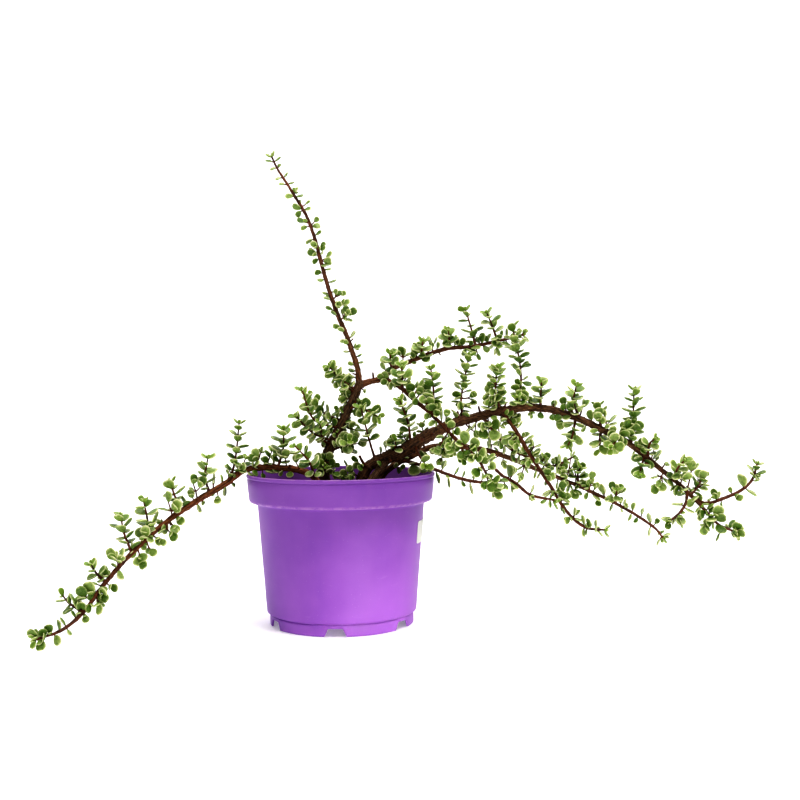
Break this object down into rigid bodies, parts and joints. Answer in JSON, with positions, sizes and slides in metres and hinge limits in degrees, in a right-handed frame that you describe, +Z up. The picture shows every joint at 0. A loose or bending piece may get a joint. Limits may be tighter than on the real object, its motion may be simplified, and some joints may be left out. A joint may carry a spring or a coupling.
{
  "type": "elephant bush in a nursery pot",
  "caption": "Trailing variegated elephant bush: small round fleshy leaves on arching reddish woody stems, growing in a tapered purple plastic nursery pot.",
  "frame": {"origin": "on the floor, under the middle of the pot, at the centre of the flat foot in the middle of the pot's base", "axes": "+Z up; +X towards the side that the long arching branches reach out to; -Y towards the viewer who has the long branches on the right"},
  "size_m": [0.6201, 0.2318, 0.4343],
  "materials": {
    "pot_plastic": "satin",
    "potting_mix": "matte",
    "label_paper": "matte",
    "bark": "matte",
    "young_bark": "satin",
    "leaf": "satin"
  },
  "bodies": {
    "root": {"pot": "pot_plastic", "potting_mix": "potting_mix", "label": "label_paper", "trunk_left": "bark", "upright_leader": "young_bark", "upper_branch": "bark", "crossing_branch": "bark", "trunk_right": "bark", "root_stem": "bark", "fork_lower": "young_bark", "fork_upper": "young_bark", "fork_back": "young_bark", "lower_branch": "bark", "drooping_branch": "young_bark", "inner_branch": "young_bark", "low_branch": "young_bark", "trailing_branch": "bark", "shoot_trailing_1": "leaf", "shoot_trailing_2": "leaf", "shoot_trailing_3": "leaf", "shoot_trailing_4": "leaf", "shoot_trailing_5": "leaf", "shoot_trailing_6": "leaf", "shoot_trailing_7": "leaf", "shoot_left_rim": "leaf", "shoot_left_inner": "leaf", "shoot_left_mid": "leaf", "shoot_left_bushy": "leaf", "shoot_left_high": "leaf", "shoot_left_front": "leaf", "shoot_left_top": "leaf", "shoot_centre_low": "leaf", "shoot_centre_mid": "leaf", "shoot_centre_front": "leaf", "shoot_upper_1": "leaf", "shoot_upper_2": "leaf", "shoot_upper_3": "leaf", "shoot_upper_4": "leaf", "shoot_upper_5": "leaf", "shoot_crossing_1": "leaf", "shoot_crossing_2": "leaf", "shoot_right_1": "leaf", "shoot_right_2": "leaf", "shoot_right_3": "leaf", "shoot_right_4": "leaf", "shoot_right_5": "leaf", "shoot_right_6": "leaf", "shoot_right_7": "leaf", "shoot_right_8": "leaf", "shoot_right_9": "leaf", "shoot_right_10": "leaf", "shoot_right_11": "leaf", "shoot_hanging_1": "leaf", "shoot_hanging_2": "leaf", "shoot_hanging_3": "leaf", "shoot_front_right": "leaf", "shoot_rim_right": "leaf", "shoot_lower_1": "leaf", "shoot_lower_2": "leaf"}
  },
  "joints": []
}
